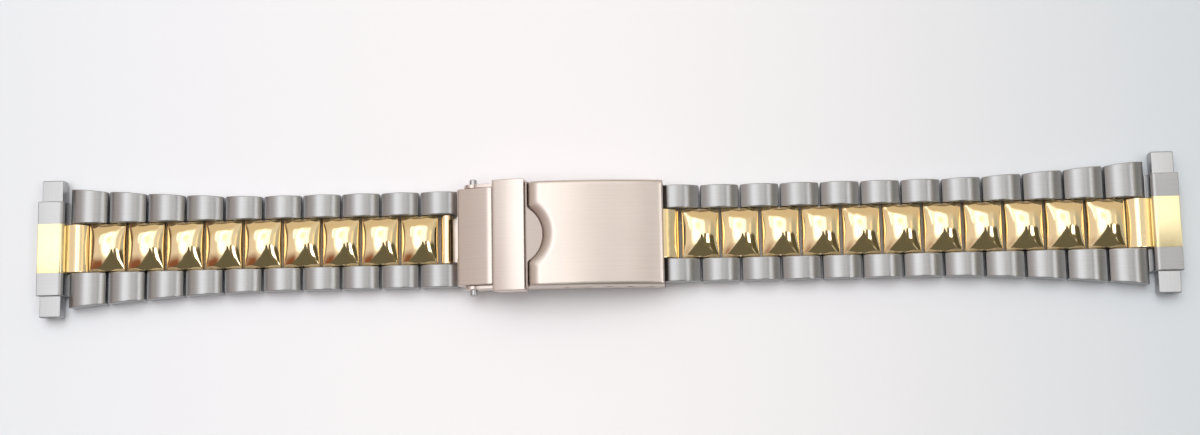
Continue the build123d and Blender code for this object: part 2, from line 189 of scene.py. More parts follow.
def round_hole(outline, centre, radius):
    """Edge of a round hole, one point on the ray from its centre to each outline point."""
    return slot_loop(outline, centre, 0.0, radius, radius)


# ---- surfaces: rings of points, joined to their neighbours by quads ----

def rings_across(*placed):
    """Rings across the bracelet: outlines in the XZ plane, each with its place or places along Y."""
    return np.array([np.stack([shape[:, 0], np.broadcast_to(y, len(shape)), shape[:, 1]], -1) for shape, y in placed])


def block_rings(outline, low_y, high_y, rounding, stations=2, hole=None, steps=4):
    """Rings of a body across the bracelet: the outline, drawn in by a quarter circle towards both ends.
    Each ring is the outline shrunk about its middle; a hole adds its loop as first and last ring."""
    low_y, high_y = np.broadcast_to(low_y, len(outline)), np.broadcast_to(high_y, len(outline))
    middle = (outline.min(0) + outline.max(0)) / 2
    half = (outline.max(0) - outline.min(0)) / 2
    turn = np.linspace(0, math.pi / 2, steps)
    inset = np.append(rounding * (1 - np.sin(turn)), 0)
    depth = np.append(rounding * (1 - np.cos(turn)), 1.6 * rounding)
    shapes = middle + (outline - middle) * (1 - inset[:, None, None] / half)
    near = np.concatenate([shapes[..., :1], (low_y + depth[:, None])[..., None], shapes[..., 1:]], -1)
    far = np.concatenate([shapes[..., :1], (high_y - depth[:, None])[..., None], shapes[..., 1:]], -1)[::-1]
    share = np.linspace(0, 1, stations + 2)[1:-1, None, None]
    rings = np.concatenate([near, near[-1:] * (1 - share) + far[:1] * share, far])
    if hole is None:
        return rings
    mouths = rings_across((hole, low_y), (hole, high_y))
    return np.concatenate([mouths[:1], rings, mouths[1:]])


def skin(rings, wrap=False):
    """Corner places and faces of one closed body: quads between rings, and a flat cap at each open end.
    Corners that fall together are joined, and faces that have no area left are dropped."""
    count, around = rings.shape[:2]
    ring = np.arange(count if wrap else count - 1)[:, None]
    step = np.arange(around)[None, :]
    following, beside = (ring + 1) % count, (step + 1) % around
    quads = np.stack([ring * around + step, ring * around + beside,
                      following * around + beside, following * around + step], -1).reshape(-1, 4)
    corners = rings.reshape(-1, 3)
    a, b, c, d = (corners[quads[:, k]] for k in range(4))
    volume = np.einsum("ij,ij->i", a, np.cross(b, c)).sum() + np.einsum("ij,ij->i", a, np.cross(c, d)).sum()
    caps = []
    if not wrap:
        caps = [np.arange(around)[::-1], np.arange(around) + (count - 1) * around]
        for cap in caps:
            p, q, r = corners[cap[0]], corners[cap[1:-1]], corners[cap[2:]]
            volume += np.einsum("ij,ij->i", np.broadcast_to(p, q.shape), np.cross(q, r)).sum()
    if volume < 0:
        quads, caps = quads[:, ::-1], [cap[::-1] for cap in caps]
    corners, index = np.unique(corners.round(9), axis=0, return_inverse=True)
    quads = index.reshape(-1)[quads]
    faces = quads.tolist()
    for k in np.flatnonzero((quads == np.roll(quads, 1, 1)).any(1)):
        faces[k] = list(dict.fromkeys(faces[k]))
    return corners, [face for face in faces if len(face) > 2], [index.reshape(-1)[cap].tolist() for cap in caps]


def strip_rings(path, normals, section):
    """Rings of a strip carried along a path in the XZ plane: each section point is (y, depth inwards)."""
    places = path[:, None] - normals[:, None] * section[None, :, 1:]
    y = np.broadcast_to(section[None, :, :1], places.shape[:2] + (1,))
    return np.concatenate([places[..., :1], y, places[..., 1:]], -1)


def path_normals(path):
    """Unit normals to the left of a path in the XZ plane, from the steps before and after each point."""
    step = np.gradient(path, axis=0)
    step /= np.linalg.norm(step, axis=1, keepdims=True)
    return np.stack([-step[:, 1], step[:, 0]], -1)


def bored(outline, centre, radius, low_y, high_y):
    """A flat-ended body across the bracelet with a round hole right through it."""
    hole = round_hole(outline, centre, radius)
    return skin(rings_across((hole, low_y), (outline, low_y), (outline, high_y), (hole, high_y)), wrap=True)


def turned(place, y, radii, count=36):
    """A turned body across the bracelet: circles of the given radii at the given places along Y, for its far half.
    Its near half is the mirror image."""
    y, radii = np.append(-np.flip(y), y), np.append(np.flip(radii), radii)
    return skin(rings_across(*((circle(place, radius, count), at) for radius, at in zip(radii, y))))


def add_piece(name, bodies, rides_on, material, replaces=(), sharp_angle=35.0, second=None):
    """Puts closed bodies into one mesh that moves with a CAD body and stands for CAD nodes.
    Its UV map "grain" is (y, x) in millimetres, or (z, x) where a face looks across the bracelet.
    A second material goes to the chosen ones of the first body's faces."""
    corners, faces, smooth, base = [], [], [], 0
    for points, quads, caps in bodies:
        corners.append(points)
        faces += [[k + base for k in face] for face in quads + caps]
        smooth += [True] * len(quads) + [False] * len(caps)
        base += len(points)
    mesh = bpy.data.meshes.new(name)
    mesh.from_pydata(np.concatenate(corners), [], faces)
    mesh.polygons.foreach_set("use_smooth", smooth)
    mesh.set_sharp_from_angle(angle=math.radians(sharp_angle))
    mesh.materials.append(material)
    if second:
        mesh.materials.append(second[0])
        index = np.zeros(len(faces), int)
        index[:second[1].size] = second[1].ravel()
        mesh.polygons.foreach_set("material_index", index)
    normals, totals = np.empty((len(faces), 3)), np.empty(len(faces), int)
    mesh.polygons.foreach_get("normal", normals.ravel())
    mesh.polygons.foreach_get("loop_total", totals)
    vertex = np.empty(len(mesh.loops), int)
    mesh.loops.foreach_get("vertex_index", vertex)
    place = np.concatenate(corners)[vertex] / MM
    aside = np.repeat(np.abs(normals[:, 1]) > 0.8, totals)[:, None]
    grain = np.where(aside, place[:, [2, 0]], place[:, [1, 0]])
    mesh.uv_layers.new(name="grain").data.foreach_set("uv", grain.ravel())
    piece = bpy.data.objects.new(name, mesh)
    bpy.context.scene.collection.objects.link(piece)
    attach(piece, rides_on)
    if replaces:
        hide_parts(*replaces)
    return piece


# ---- finishes ----

def colour(hex_code):
    """An sRGB hex colour as linear red, green, blue and full alpha."""
    parts = np.array([int(hex_code[k:k + 2], 16) for k in (0, 2, 4)]) / 255
    linear = np.where(parts <= 0.04045, parts / 12.92, ((parts + 0.055) / 1.055) ** 2.4)
    return (*linear.tolist(), 1.0)


def add_node(tree, kind, settings=None, inputs=None):
    """Adds a node, sets its own settings, then sets or links each named input. A node that is given for an input
    stands for its first output in use."""
    node = tree.nodes.new("ShaderNode" + kind)
    for key, value in (settings or {}).items():
        setattr(node, key, value)
    for key, value in (inputs or {}).items():
        if isinstance(value, bpy.types.Node):
            value = next(output for output in value.outputs if output.enabled)
        if isinstance(value, bpy.types.NodeSocket):
            tree.links.new(value, node.inputs[key])
        else:
            node.inputs[key].default_value = value
    return node


def new_material(name):
    """An empty node material with its output."""
    material = bpy.data.materials.get(name) or bpy.data.materials.new(name)
    material.use_nodes = True
    material.node_tree.nodes.clear()
    return material, material.node_tree


def brushed_steel(name, dark, light, grain=(4.0, 0.12), roughness=(0.3, 0.42), relief=0.05, anisotropic=0.85,
                  turn=0.0):
    """Stainless steel, brushed: fine parallel scratches that spread its highlights across them into soft bands.
    Each scratch is about grain[0] mm long and grain[1] mm wide, drawn as coarse as the picture shows."""
    material, tree = new_material(name)
    place = add_node(tree, "TexCoord")
    stretch = add_node(tree, "Mapping", inputs={
        "Vector": place.outputs["Object"],
        "Scale": (1 / (grain[0] * MM), 1 / (grain[1] * MM), 1 / (grain[0] * MM))})
    scratches = add_node(tree, "TexNoise", inputs={
        "Vector": stretch, "Scale": 1.0, "Detail": 3.0, "Roughness": 0.6})
    smudges = add_node(tree, "TexNoise", inputs={
        "Vector": place.outputs["Object"], "Scale": 1 / (9 * MM), "Detail": 2.0})
    tint = add_node(tree, "Mix", {"data_type": "RGBA"}, {
        "Factor": scratches, "A": colour(dark), "B": colour(light)})
    mixed = add_node(tree, "Math", {"operation": "MULTIPLY_ADD"}, {
        0: smudges, 1: 0.4, 2: scratches})
    gloss = add_node(tree, "MapRange", inputs={
        "Value": mixed, "From Min": 0.3, "From Max": 1.1,
        "To Min": roughness[0], "To Max": roughness[1]})
    bump = add_node(tree, "Bump", inputs={
        "Height": scratches, "Strength": relief, "Distance": 0.02 * MM})
    spread = add_node(tree, "Tangent", {"direction_type": "UV_MAP", "uv_map": "grain"})
    shader = add_node(tree, "BsdfPrincipled", inputs={
        "Base Color": tint, "Metallic": 1.0, "Roughness": gloss,
        "Anisotropic": anisotropic, "Anisotropic Rotation": turn, "Normal": bump,
        "Tangent": spread})
    add_node(tree, "OutputMaterial", inputs={"Surface": shader})
    return material


def gold_plate(name, tone, roughness=(0.05, 0.12), waviness=0.5):
    """Gold plate: polished, it gives mirror images, a little wavy from the buffing, with faint hazy patches.
    Polished softly, with a higher roughness, it gives a warm sheen in which the images blur."""
    material, tree = new_material(name)
    place = add_node(tree, "TexCoord")
    waves = add_node(tree, "TexNoise", inputs={
        "Vector": place.outputs["Object"], "Scale": 1 / (1.6 * MM), "Detail": 1.0})
    haze = add_node(tree, "TexNoise", inputs={
        "Vector": place.outputs["Object"], "Scale": 1 / (0.7 * MM), "Detail": 4.0})
    gloss = add_node(tree, "MapRange", inputs={
        "Value": haze, "From Min": 0.35, "From Max": 0.7,
        "To Min": roughness[0], "To Max": roughness[1]})
    bump = add_node(tree, "Bump", inputs={
        "Height": waves, "Strength": waviness, "Distance": 0.05 * MM})
    shader = add_node(tree, "BsdfPrincipled", inputs={
        "Base Color": colour(tone), "Metallic": 1.0, "Roughness": gloss,
        "Normal": bump})
    add_node(tree, "OutputMaterial", inputs={"Surface": shader})
    return material


def finishes():
    """All the bracelet's finishes by name."""
    look = bpy.context.scene.bracelet_finish
    steel, long_grain = (look.steel_dark, look.steel_light), (9.0, 0.14)
    return {
        "link_steel": brushed_steel("satin_brushed_steel", *steel),
        # painted light: the clasp's steel is lighter and pinker than the links' steel, standing for the warm light
        # its cover reflects; its longer grain is real
        "clasp_steel": brushed_steel("long_brushed_steel", look.clasp_sheen_dark, look.clasp_sheen_light, long_grain),
        # painted shade: the notch floor's steel is darker, standing for the shade in the recess
        "recess_steel": brushed_steel("recess_brushed_steel", look.recess_shade_dark, look.recess_shade_light, long_grain),
        "cross_steel": brushed_steel("cross_brushed_steel", *steel, grain=(0.14, 3.0), turn=0.25),
        "gold": gold_plate("polished_gold_plate", look.gold),
        "band_gold": gold_plate("soft_polished_gold_plate", look.band_gold, roughness=(0.3, 0.38), waviness=0.1),
        "pin_steel": brushed_steel("turned_steel", *steel, grain=(0.3, 0.3), roughness=(0.18, 0.3), anisotropic=0.0),
    }


# ---- settings ----

def length_mm(name, description, value):
    """A length that a user can change, with its default in millimetres."""
    return FloatProperty(name=name, description=description, default=value * MM, unit="LENGTH")


def hex_tone(name, where, value):
    """A colour that a user can change, as an sRGB hex code."""
    return StringProperty(name=name, description=f"sRGB hex {where}", default=value)


class LinkSizes(bpy.types.PropertyGroup):
    """Sizes of the links about their pins"""
    length: length_mm("Side link length", "Along the bracelet", 5.4)
    centre_length: length_mm("Centre link length", "Along the bracelet", 5.3)
    pin_height: length_mm("Pin height", "Pins' axes above the flat back", 1.3)
    pin_radius: length_mm("Pin radius", "Of the pins between the links", 0.4)
    bore: length_mm("Bore", "Radius of the holes for those pins", 0.432)
    adjuster_slot: length_mm("Adjuster slot", "Radius, for the adjuster bar in its clasp link", 0.73)
    side_edge: length_mm("Side link edge height", "Where its arched top ends", 1.95)
    side_crown: length_mm("Side link crown height", "Middle of its arched top", 2.9)
    centre_width: length_mm("Centre link width", "Across the bracelet", 7.0)
    centre_edge: length_mm("Dome edge height", "Where a dome meets its sides", 2.25)
    centre_crown: length_mm("Dome crown height", "Top of a dome", 3.4)
    plain_edge: length_mm("Plain link edge height", "Of the plain gold links", 1.5)
    plain_crown: length_mm("Plain link crown height", "Of the plain gold links", 2.35)
    neck_crown: length_mm("Neck crown height", "Of the end pieces' gold links", 2.4)
    foot_chamfer: length_mm("Foot chamfer", "On the links' back edges", 0.5)
    foot_cut: length_mm("Foot rounding", "Of the chamfer's edges", 0.08)
    steel_edge: length_mm("Steel edge rounding", "Of the side links' edges", 0.14)
    gold_edge: length_mm("Gold edge rounding", "Of the gold links' edges", 0.3)
    corner_lift: FloatProperty(name="Corner lift", default=0.74,
                               description="0 lets a dome's corners sink fully, 1 keeps its rim level")
    inner_side: length_mm("Inner side", "Middle line to the side links", 3.6)
    crown_points: IntProperty(name="Crown points", description="Points along an arched top", default=25)


class ClaspSizes(bpy.types.PropertyGroup):
    """Sizes of the clasp's cover and latch"""
    arch_radius: length_mm("Arch radius", "Of the cover's top", 55)
    sheet: length_mm("Cover sheet", "Thickness of the raised part", 0.8)
    front_sheet: length_mm("Front sheet", "Thickness of the stepped-down front", 0.7)
    wall: length_mm("Wall", "Thickness of the cover's walls", 0.5)
    depth: length_mm("Depth", "From the arch down to the walls' lower edge", 4.5)
    step: length_mm("Front step", "Front below the raised part", 0.95)
    long_edge: length_mm("Long edge", "Rounding of the long edges", 0.55)
    backing: length_mm("Backing", "Thicker stretch behind the step", 2.5)
    hole_count: IntProperty(name="Holes", description="Adjuster holes in each wall", default=5)
    hole_pitch: length_mm("Hole pitch", "Between the adjuster holes", 3.0)
    hole_radius: length_mm("Hole radius", "Of the adjuster holes", 0.5)
    hole_depth: length_mm("Hole depth", "From the arch down to the holes", 2.41)
    pin_overhang: length_mm("Pin overhang", "Of the hinge pin's heads", 0.9)
    pin_head: length_mm("Pin head", "Radius of the hinge pin's heads", 0.55)
    pin_bulge: length_mm("Pin bulge", "Height of the heads' rounded ends", 0.16)
    bar_tube: length_mm("Bar tube", "Radius of the adjuster bar", 0.7)
    bar_tip: length_mm("Bar tip", "Radius of the adjuster bar's tips", 0.45)
    front_reach: length_mm("Front reach", "From the hinge pin to the front's left end", 2.85)
    end_edge: length_mm("End edge", "Rounding of the raised part's right end", 0.2)
    main_length: length_mm("Raised length", "Length of the raised part", 19.1)
    notch_width: length_mm("Notch width", "Of the finger notch", 7.6)
    notch_depth: length_mm("Notch depth", "Of the finger notch", 2.05)
    bevel_angle: FloatProperty(name="Bevel angle", description="Of the notch's slope, from upright",
                               default=math.radians(56), subtype="ANGLE", unit="ROTATION")
    lip: length_mm("Lip", "Upright foot of the bevel", 0.28)
    crease: length_mm("Crease softness", "Height over which the bevel's edges blend", 0.5)
    latch_wall: length_mm("Latch wall", "Of its nose round the knuckle", 0.9)
    latch_play: length_mm("Latch play", "Between its narrow part and the walls", 0.1)
    latch_fillet: length_mm("Latch fillet", "Length of the curve left of the seam", 0.9)
    window_width: length_mm("Window width", "Opening for the blade's neck", 6)
    window_height: length_mm("Window height", "Above the pin's axis", 0.75)
    latch_slope: FloatProperty(name="Latch slope", description="Fall of the latch's narrow part to its nose",
                               default=math.radians(19), subtype="ANGLE", unit="ROTATION")
    clamp_start: length_mm("Clamp start", "From the latch's nose to the clamp", 5.25)
    clamp_depth: length_mm("Clamp depth", "Of the clamp's arc below the cover's top", 0.05)
    flap_depth: length_mm("Flap depth", "From the clamp's top to its flaps' lower edge", 3.3)
    flap_sheet: length_mm("Flap sheet", "Thickness of the flaps", 0.35)
    clamp_drop: length_mm("Clamp drop", "How much the clamp's left edge lies below its arc", 0.34)
    clamp_sheet: length_mm("Clamp sheet", "Thickness of the clamp", 0.55)
    clamp_edge: length_mm("Clamp edge", "Rounding of the clamp's left edge", 0.16)
    seam_width: length_mm("Seam width", "Of the groove between narrow part and clamp", 0.1)
    seam_depth: length_mm("Seam depth", "Of that groove", 0.32)


class BladeSizes(bpy.types.PropertyGroup):
    """Sizes of the blades inside the clasp"""
    thickness: length_mm("Blade thickness", "Of both blades", 0.6)
    width: length_mm("Blade width", "Across the bracelet", 10)
    edge: length_mm("Blade edge", "Rounding of the blades' edges", 0.18)
    gap: length_mm("Blade gap", "Between the blades", 0.1)
    depth: length_mm("Blade depth", "Middle blade below the cover's top", 4.0)
    start: length_mm("Middle blade start", "From the clasp's end to its plate", 5.05)
    neck_width: length_mm("Neck width", "Of the middle blade's neck", 5.6)
    knuckle_radius: length_mm("Knuckle radius", "On the cover's pin", 1.05)
    pin_bore: length_mm("Pin bore", "Radius, for the cover's pin", 0.59)
    fold_radius: length_mm("Fold knuckle radius", "Where the blades join", 0.9)
    fold_width: length_mm("Fold knuckle width", "Of the middle knuckle", 4.0)
    fold_bore: length_mm("Fold bore", "Radius, for the pin between the blades", 0.48)
    tongue_width: length_mm("Tongue width", "Of the lower blade's tongue", 6.6)


class EndSizes(bpy.types.PropertyGroup):
    """Sizes of the end pieces"""
    sleeve_corner: length_mm("Sleeve corner", "Rounding towards the links", 0.8)
    sleeve_edge: length_mm("Sleeve edge", "Rounding of the other edges", 0.15)
    band_width: length_mm("Band width", "Of the gold band", 7.2)
    band_thickness: length_mm("Band thickness", "Of the gold band", 0.12)
    band_foot: length_mm("Band foot", "Where the band ends above the surface", 0.5)
    tip_length: length_mm("Tip length", "Along the bracelet", 3.1)
    tip_height: length_mm("Tip height", "Upright", 1.95)
    tip_play: length_mm("Tip play", "Between a tip and the sleeve's mouth", 0.05)
    tip_bore: length_mm("Tip bore", "Radius of the spring bar's bore", 0.7)
    wire: length_mm("Spring wire", "Thickness of the springs' wire", 0.24)
    coils: IntProperty(name="Coils", description="Turns of each half of a spring", default=9)
    band_edge: length_mm("Band edge", "Rounding of the gold band's edges", 0.03)
    ledge_root: length_mm("Ledge root", "How far the ledge runs into the sleeve", 0.2)
    ledge_height: length_mm("Ledge height", "Of the sleeve's ledge", 0.8)
    ledge_depth: length_mm("Ledge depth", "Of the sleeve's ledge", 0.35)


class FinishColours(bpy.types.PropertyGroup):
    """Colours of the metals"""
    steel_dark: hex_tone("Steel dark", "of the scratches", "A9A9AB")
    steel_light: hex_tone("Steel light", "between the scratches", "BDBEC0")
    # painted light: these clasp tones are lighter and pinker than the links' steel, standing for the warm sheen of
    # the lit cover
    clasp_sheen_dark: hex_tone("Clasp dark", "of the clasp's scratches", "D6C9C2")
    clasp_sheen_light: hex_tone("Clasp light", "between the clasp's scratches", "E6DCD6")
    # painted shade: darker steel tones for the notch floor, standing for the shade in the recess
    recess_shade_dark: hex_tone("Recess dark", "of the notch floor's scratches", "A2968F")
    recess_shade_light: hex_tone("Recess light", "between them", "B4A8A2")
    gold: hex_tone("Gold", "of the gold plate", "F8E1B4")
    band_gold: hex_tone("Band gold", "of the softly polished bands", "EEDFB2")


class StudioSettings(bpy.types.PropertyGroup):
    """Camera and light"""
    camera_place: FloatVectorProperty(name="Camera place", description="Above the bracelet", subtype="TRANSLATION",
                                      default=(11.86 * MM, -27.83 * MM, 229.32 * MM), unit="LENGTH")
    camera_turn: FloatVectorProperty(name="Camera turn", description="From looking straight down", subtype="EULER",
                                     default=(0.1321, 0.0537, -0.018), unit="ROTATION")
    lens: FloatProperty(name="Lens", description="Focal length for a 36 mm wide sensor", default=48.15)
    lamp_place: FloatVectorProperty(name="Lamp place", description="Lamp that lights the paper",
                                    subtype="TRANSLATION", default=(-0.1, 0.3, 0.9), unit="LENGTH")
    lamp_size: FloatProperty(name="Lamp size", description="Side of the square lamp", default=0.5, unit="LENGTH")
    lamp_power: FloatProperty(name="Lamp power", description="Of the lamp, in watts", default=2.15)
    # painted light: the paper's stops are brightest in the middle and darker and cooler towards its ends
    floor_light_tones: hex_tone("Floor", "of the paper's five stops, left to right", "E6E9EE D8E0EA FFF9FB B6C4CE C8D0D5")


# ---- operators ----

def side_link_body(sizes, body, *sides):
    """One side link: its side outline across the bracelet, its outer end slanting with the taper. Each side is one
    place along Y, or one for the link's left end and one for its right end."""
    outline = link_outline(sizes.length, sizes.side_edge, sizes.side_crown, sizes, sizes.steel_edge)
    ends = (-sizes.length / 2, sizes.length / 2)
    low, high = (np.interp(outline[:, 0], ends, np.broadcast_to(y, 2)) for y in sides)
    return skin(set_down(block_rings(outline, low, high, sizes.steel_edge), *link_place(body)))


def pin_body(sizes, place, half_length):
    """A pin across the bracelet at a place in the XZ plane."""
    round_off = 0.05 * MM
    return skin(block_rings(circle(place, sizes.pin_radius, 24), -half_length, half_length, round_off, 1))


class BRACELET_OT_side_links(bpy.types.Operator):
    """Brushed steel side links, each pair with its two pins"""
    bl_idname = "bracelet.side_links"
    bl_label = "Side Links"

    def execute(self, context):
        sizes, look = context.scene.bracelet_links, finishes()
        for side, lug_first in (("left", True), ("right", False)):
            names = sorted(n for n in frame["nodes"] if n.startswith(f"{side}_side_links"))
            widths = [node_box(n)[1][1] for n in names]
            for index, name in enumerate(names):
                toward_clasp = index + 1 if lug_first else index - 1
                narrow = widths[toward_clasp] if 0 <= toward_clasp < len(names) else widths[index]
                outer = (widths[index], narrow) if lug_first else (narrow, widths[index])
                body = body_of_node[name]
                bodies = [side_link_body(sizes, body, sizes.inner_side, outer),
                          side_link_body(sizes, body, tuple(-y for y in outer), -sizes.inner_side)]
                bodies += [pin_body(sizes, pin, sizes.inner_side + 0.5 * sizes.pin_radius) for pin in pins_of(body)]
                add_piece(f"{name}_steel", bodies, body, look["link_steel"], [name])
        return {"FINISHED"}


def dome_rings(sizes):
    """A pillow: its height falls from the crown by the sum of the two arcs' falls along and across, less a share
    of their product, which lifts the corners again so that the sides blend over soft hips."""
    half, end_edge = sizes.centre_width / 2, 0.04 * MM
    outline = link_outline(sizes.centre_length, sizes.centre_edge, sizes.centre_crown, sizes, sizes.gold_edge)
    hole = slot_loop(outline, np.zeros(2), pin_half_span(), sizes.bore, sizes.bore)
    rings = block_rings(outline, -half, half, end_edge, 41, hole)
    y, z = rings[..., 1], rings[..., 2]
    crown = sizes.centre_crown - sizes.pin_height
    fall_along = np.maximum(crown - z, 0)
    fall_across = crown + sizes.pin_height - crown_heights(y, half, sizes.centre_edge, sizes.centre_crown)
    over = np.maximum(np.abs(y) - (half - sizes.gold_edge), 0)
    fall_across += sizes.gold_edge - np.sqrt(np.maximum(sizes.gold_edge ** 2 - over ** 2, 0))
    rise = sizes.centre_crown - sizes.centre_edge
    joined = fall_along + fall_across - sizes.corner_lift * fall_along * fall_across / rise
    floor = 0.2 * MM  # height above the pins at which the fall sets in
    share = np.clip((z - floor) / (sizes.centre_edge - sizes.pin_height - sizes.gold_edge - floor), 0, 1)
    rings[..., 2] = np.where(z > floor, z - (joined - fall_along) * share, z)
    return rings


def pin_half_span():
    """Half the distance between two neighbouring pins."""
    left, right = pins_of("left_side_links_01")
    return float(np.linalg.norm(right - left)) / 2


class BRACELET_OT_centre_links(bpy.types.Operator):
    """Polished gold centre links with pillowed domes"""
    bl_idname = "bracelet.centre_links"
    bl_label = "Centre Links"

    def execute(self, context):
        sizes, look = context.scene.bracelet_links, finishes()
        rings = dome_rings(sizes)
        for name in sorted(n for n in frame["nodes"] if "_centre_link_" in n):
            body = body_of_node[name]
            shape = skin(set_down(rings, *link_place(body)), wrap=True)
            add_piece(f"{name}_gold", [shape], body, look["gold"], [name])
        return {"FINISHED"}


class BRACELET_OT_plain_links(bpy.types.Operator):
    """The plain gold links at both sides of the clasp"""
    bl_idname = "bracelet.plain_links"
    bl_label = "Plain Links"

    def execute(self, context):
        sizes, look = context.scene.bracelet_links, finishes()
        half = sizes.centre_width / 2
        outline = link_outline(sizes.centre_length, sizes.plain_edge, sizes.plain_crown, sizes, sizes.foot_cut * 2)
        hole = slot_loop(outline, np.zeros(2), pin_half_span(), sizes.adjuster_slot, sizes.bore)
        rings = block_rings(outline, -half, half, sizes.foot_cut, 2, hole)
        shape = skin(set_down(rings, *link_place("right_clasp_link")), wrap=True)
        add_piece("right_clasp_link_gold", [shape], "right_clasp_link", look["gold"], ["right_clasp_link"])

        low, high = node_box("left_clasp_link")
        middle, reach = (low[0] + high[0]) / 2, (high[0] - low[0]) / 2
        edge, crown = high[2] - (sizes.plain_crown - sizes.plain_edge), high[2]
        x = np.linspace(reach - 2 * sizes.foot_cut, 2 * sizes.foot_cut - reach, sizes.crown_points)
        arch = np.stack([x, crown_heights(x, reach, edge, crown)], -1)
        outline = softened([(-reach, low[2]), (reach, low[2]), (reach, edge), (-reach, edge)],
                           [sizes.foot_cut] * 4, arch, 2) + (middle, 0)
        hole = round_hole(outline, pin_place("left_side_links_10_hinge"), sizes.bore)
        shape = skin(block_rings(outline, -half, half, sizes.foot_cut, 2, hole), wrap=True)
        add_piece("left_clasp_link_gold", [shape], "lower_blade", look["gold"], ["left_clasp_link"])
        return {"FINISHED"}


def mirrored(points, about_x, to_left):
    """Points drawn for the right end, or their mirror image for the left end."""
    placed = np.array(points)
    placed[..., 0] = about_x - points[..., 0] if to_left else about_x + points[..., 0]
    return placed


class BRACELET_OT_end_pieces(bpy.types.Operator):
    """End sleeves, their gold bands and plain links, and the telescopic tips with their springs"""
    bl_idname = "bracelet.end_pieces"
    bl_label = "End Pieces"

    def execute(self, context):
        links, sizes, look = context.scene.bracelet_links, context.scene.bracelet_ends, finishes()
        for side, to_left in (("left", True), ("right", False)):
            pin = pin_place(f"{side}_end_hinge")
            low, high = node_box(f"{side}_end_sleeve")
            inner, outer = sorted(abs(x - pin[0]) for x in (low[0], high[0]))
            start, base, top, half = inner + sizes.ledge_depth, low[2], high[2], high[1]
            outline = softened([(start, base), (outer, base), (outer, top), (start, top)],
                               [links.foot_cut, links.foot_cut, sizes.sleeve_edge, sizes.sleeve_corner], steps=9)
            tip_low, tip_high = node_box(f"{side}_back_tip")
            tip_middle = np.array([abs((tip_low[0] + tip_high[0]) / 2 - pin[0]), (tip_low[2] + tip_high[2]) / 2])
            box = rounded_rectangle(sizes.tip_length, sizes.tip_height, sizes.sleeve_edge, 6) + tip_middle
            ray = outline - tip_middle
            room = np.array([sizes.tip_length, sizes.tip_height]) / 2 + sizes.tip_play
            reach = (room / np.maximum(np.abs(ray), 1e-9)).min(1)
            mouth = tip_middle + ray * np.minimum(reach, 1)[:, None]
            rings = block_rings(outline, -half, half, sizes.sleeve_edge, 0, mouth)
            seat, split = sizes.band_width / 2, len(rings) // 2
            centre, size = (outline.min(0) + outline.max(0)) / 2, (outline.max(0) - outline.min(0)) / 2
            sunk = centre + (outline - centre) * (1 - sizes.band_thickness / size)
            steps = rings_across((outline, -seat), (sunk, -seat), (sunk, seat), (outline, seat))
            rings = np.concatenate([rings[:split], steps, rings[split:]])
            bodies = [skin(mirrored(rings, pin[0], to_left), wrap=True)]
            root, shelf = start + sizes.ledge_root, base + sizes.ledge_height
            ledge = softened([(inner, base), (root, base), (root, shelf), (inner, shelf)], [links.foot_cut] * 4)
            for near, far in ((seat, half), (-half, -seat)):
                bodies.append(skin(mirrored(block_rings(ledge, near, far, links.foot_cut), pin[0], to_left)))
            add_piece(f"{side}_end_sleeve_steel", bodies, f"{side}_end", look["link_steel"],
                      [f"{side}_end_sleeve"])

            self.band(side, to_left, pin, outline, base, sizes, look)
            self.neck(side, to_left, pin, start, base, links, look)

            bore = round_hole(box, tip_middle, sizes.tip_bore)
            for tip in ("back", "front"):
                tip_low, tip_high = node_box(f"{side}_{tip}_tip")
                rings = block_rings(box, tip_low[1], tip_high[1], sizes.sleeve_edge, 2, bore)
                add_piece(f"{side}_{tip}_tip_steel", [skin(mirrored(rings, pin[0], to_left), wrap=True)],
                          f"{side}_{tip}_tip", look["cross_steel"], [f"{side}_{tip}_tip"])
                self.half_spring(side, tip, sizes, look)
        return {"FINISHED"}

    def half_spring(self, side, tip, sizes, look):
        """Half of the end's coil spring, from the middle line to one tip. It rides on the end piece and keeps its
        length when the tip slides in.
        """
        low, high = node_box(f"{side}_end_spring")
        middle, length = (low + high) / 2, high[1] * (1 if tip == "back" else -1)
        radius = (high[2] - low[2] - sizes.wire) / 2
        turn = np.linspace(0, TAU * sizes.coils, 16 * sizes.coils + 1)
        out = np.stack([np.cos(turn), np.zeros(len(turn)), np.sin(turn)], -1)
        end = length - math.copysign(sizes.wire / 2, length)
        centre = middle + radius * out + np.linspace(0, end, len(turn))[:, None] * (0, 1, 0)
        about = circle((0, 0), sizes.wire / 2, 8)
        rings = centre[:, None] + about[:, :1] * out[:, None] + about[:, 1:] * (0, 1, 0)
        name = f"{side}_{tip}_half_spring_wire"
        nodes = [f"{side}_end_spring"] if tip == "back" else []
        piece = add_piece(name, [skin(rings)], f"{side}_end", look["pin_steel"], nodes)
        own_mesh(piece)

    def band(self, side, to_left, pin, outline, base, sizes, look):
        """The gold band: a thin strip carried over the sleeve's outline from foot to foot."""
        lowest = int(np.argmin(outline[:, 1] + 0.01 * outline[:, 0]))  # of two level points the one at the links
        order, foot = np.roll(outline, -lowest, 0), base + sizes.band_foot
        over = order[order[:, 1] >= foot - 1e-9]
        path = np.concatenate([[(over[0, 0], foot)], over, [(over[-1, 0], foot)]])
        section = rounded_rectangle(sizes.band_width, sizes.band_thickness, sizes.band_edge, 3)
        rings = strip_rings(path, -path_normals(path), section + (0, sizes.band_thickness / 2))
        add_piece(f"{side}_end_band_gold", [skin(mirrored(rings, pin[0], to_left))], f"{side}_end",
                  look["band_gold"], ())

